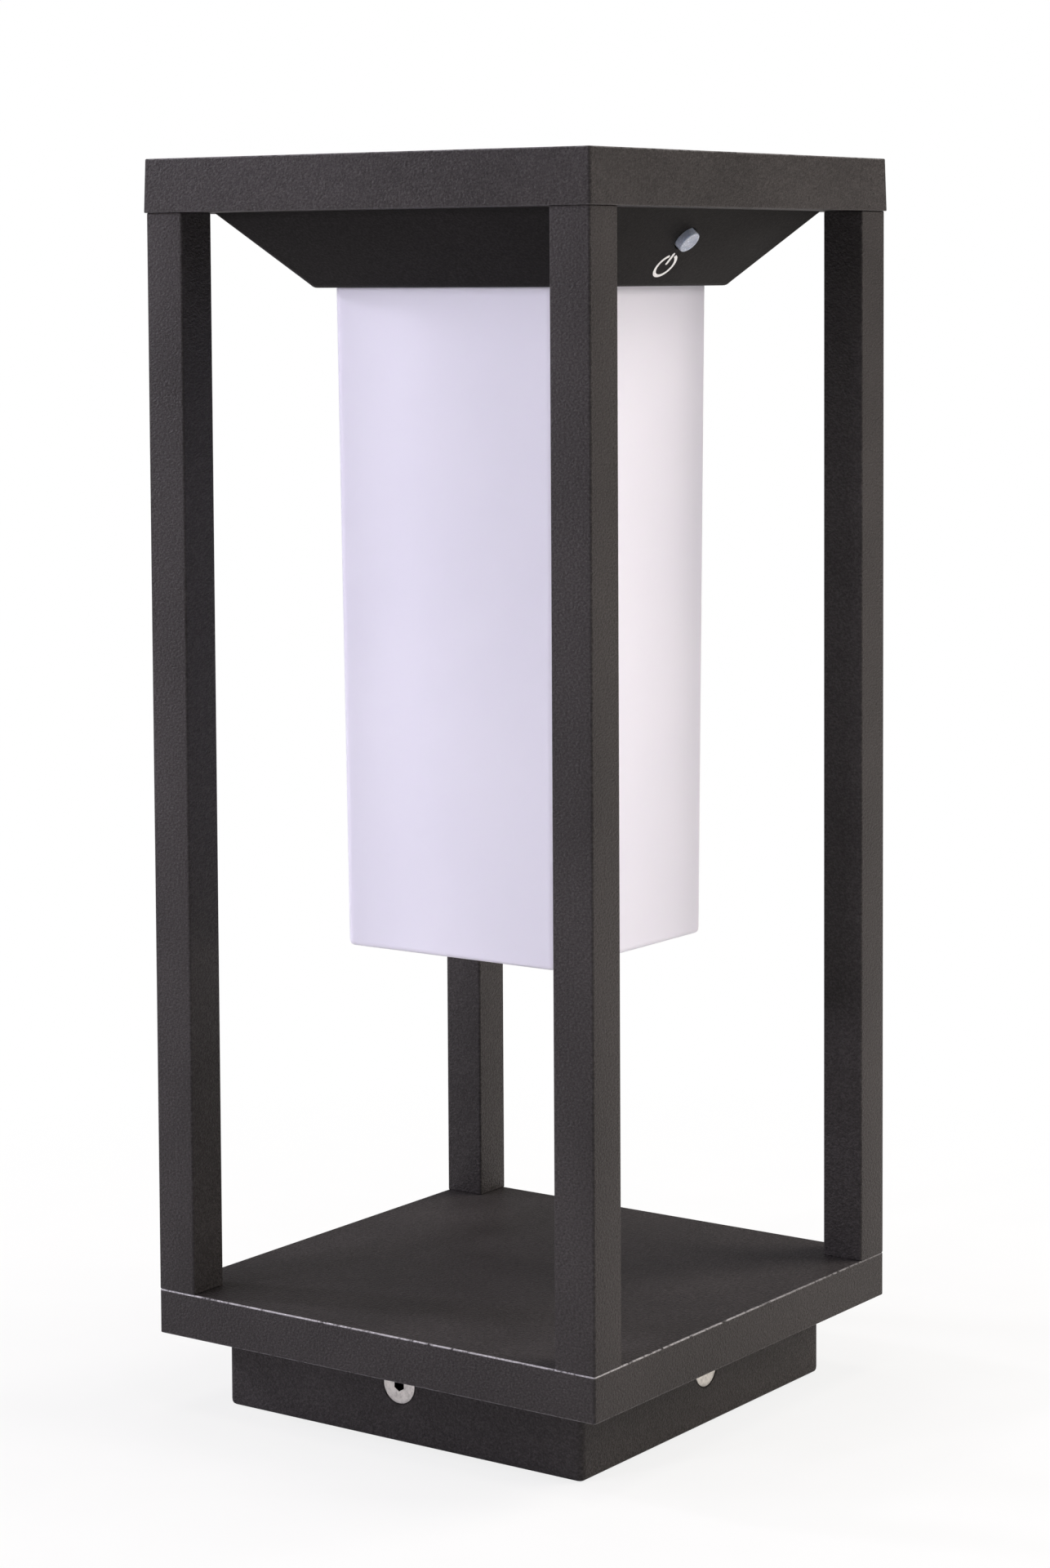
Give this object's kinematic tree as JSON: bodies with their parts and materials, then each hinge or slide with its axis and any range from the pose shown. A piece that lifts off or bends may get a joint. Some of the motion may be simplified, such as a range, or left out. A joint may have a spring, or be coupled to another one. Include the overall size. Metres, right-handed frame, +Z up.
{
  "type": "solar garden lantern",
  "caption": "Open square lantern: posts between a tray and a solar cap, with a hanging opal diffuser and a push button under the cap.",
  "frame": {"origin": "centre of the plinth's underside, on the surface that the lantern stands on", "axes": "+Z up, -Y towards the face of the battery housing that has the power button, +X to the right seen from that face"},
  "size_m": [0.1412, 0.1412, 0.3307],
  "materials": {
    "powder_coat": "anthracite fine-texture powder coat, satin matt",
    "stainless": "plain stainless steel",
    "zinc_steel": "bright zinc plate",
    "cast_zinc": "die-cast, unpainted",
    "grey_silicone": "matt moulded silicone",
    "panel_laminate": "matt laminate sheet",
    "silicon_cells": "dark blue silicon with fine silver fingers",
    "panel_glass": "clear low-iron glass, fine stipple",
    "black_housing": "near-black satin coat",
    "opal_plastic": "satin opal acrylic",
    "black_nylon": "moulded matt nylon",
    "bare_aluminium": "mill finish",
    "thermal_silicone": "soft filled silicone sheet",
    "white_board": "white solder mask",
    "led_phosphor": "phosphor-filled silicone lens",
    "spring_steel": "nickel plate",
    "cell_sleeve": "heat-shrink sleeve",
    "green_board": "green solder mask",
    "component_resin": "moulded epoxy",
    "connector_nylon": "natural nylon",
    "red_insulation": "soft insulation",
    "white_insulation": "soft insulation",
    "black_insulation": "soft insulation",
    "switch_stem_plastic": "moulded plastic",
    "clear_silicone": "translucent blue-grey silicone",
    "white_ink": "pad-printed white ink"
  },
  "bodies": {
    "lantern": {"mounting_plinth": "powder_coat", "plinth_side_screws": "stainless", "fixing_frame": "zinc_steel", "clinch_nuts": "zinc_steel", "fixing_frame_screws": "zinc_steel", "base_tray": "powder_coat", "tray_bottom_plate": "powder_coat", "bottom_plate_screws": "stainless", "post_front_left": "powder_coat", "post_front_right": "powder_coat", "post_back_left": "powder_coat", "post_back_right": "powder_coat", "post_foot_plugs": "cast_zinc", "post_foot_screws": "zinc_steel", "post_head_plugs": "cast_zinc", "post_head_screws": "zinc_steel", "cap_frame": "powder_coat", "panel_gasket": "grey_silicone", "panel_backing": "panel_laminate", "solar_cells": "silicon_cells", "panel_glass": "panel_glass", "battery_housing": "black_housing", "housing_gasket": "grey_silicone", "housing_screws": "zinc_steel", "diffuser": "opal_plastic", "diffuser_gasket": "grey_silicone", "diffuser_clamp": "black_nylon", "heatsink_plate": "bare_aluminium", "heatsink_screws": "zinc_steel", "thermal_pad": "thermal_silicone", "led_board": "white_board", "led_chips": "led_phosphor", "battery_holder": "black_nylon", "holder_screws": "zinc_steel", "battery_contacts": "spring_steel", "battery_cells": "cell_sleeve", "controller_board": "green_board", "controller_components": "component_resin", "board_spacers": "zinc_steel", "board_screws": "zinc_steel", "wire_connectors": "connector_nylon", "solar_leads": "red_insulation", "battery_leads": "red_insulation", "led_leads": "white_insulation", "switch_leads": "black_insulation", "switch_board": "green_board", "switch_board_screws": "zinc_steel", "tact_switch": "component_resin", "power_symbol": "white_ink"},
    "button": {"power_button": "clear_silicone", "switch_stem": "switch_stem_plastic"}
  },
  "joints": [
    {"name": "button_press", "type": "slide", "parent": "lantern", "child": "button", "axis": [0, 0.7345, 0.6786], "range_m": [0, 0.0008], "stiffness_N_per_m": 1500}
  ]
}
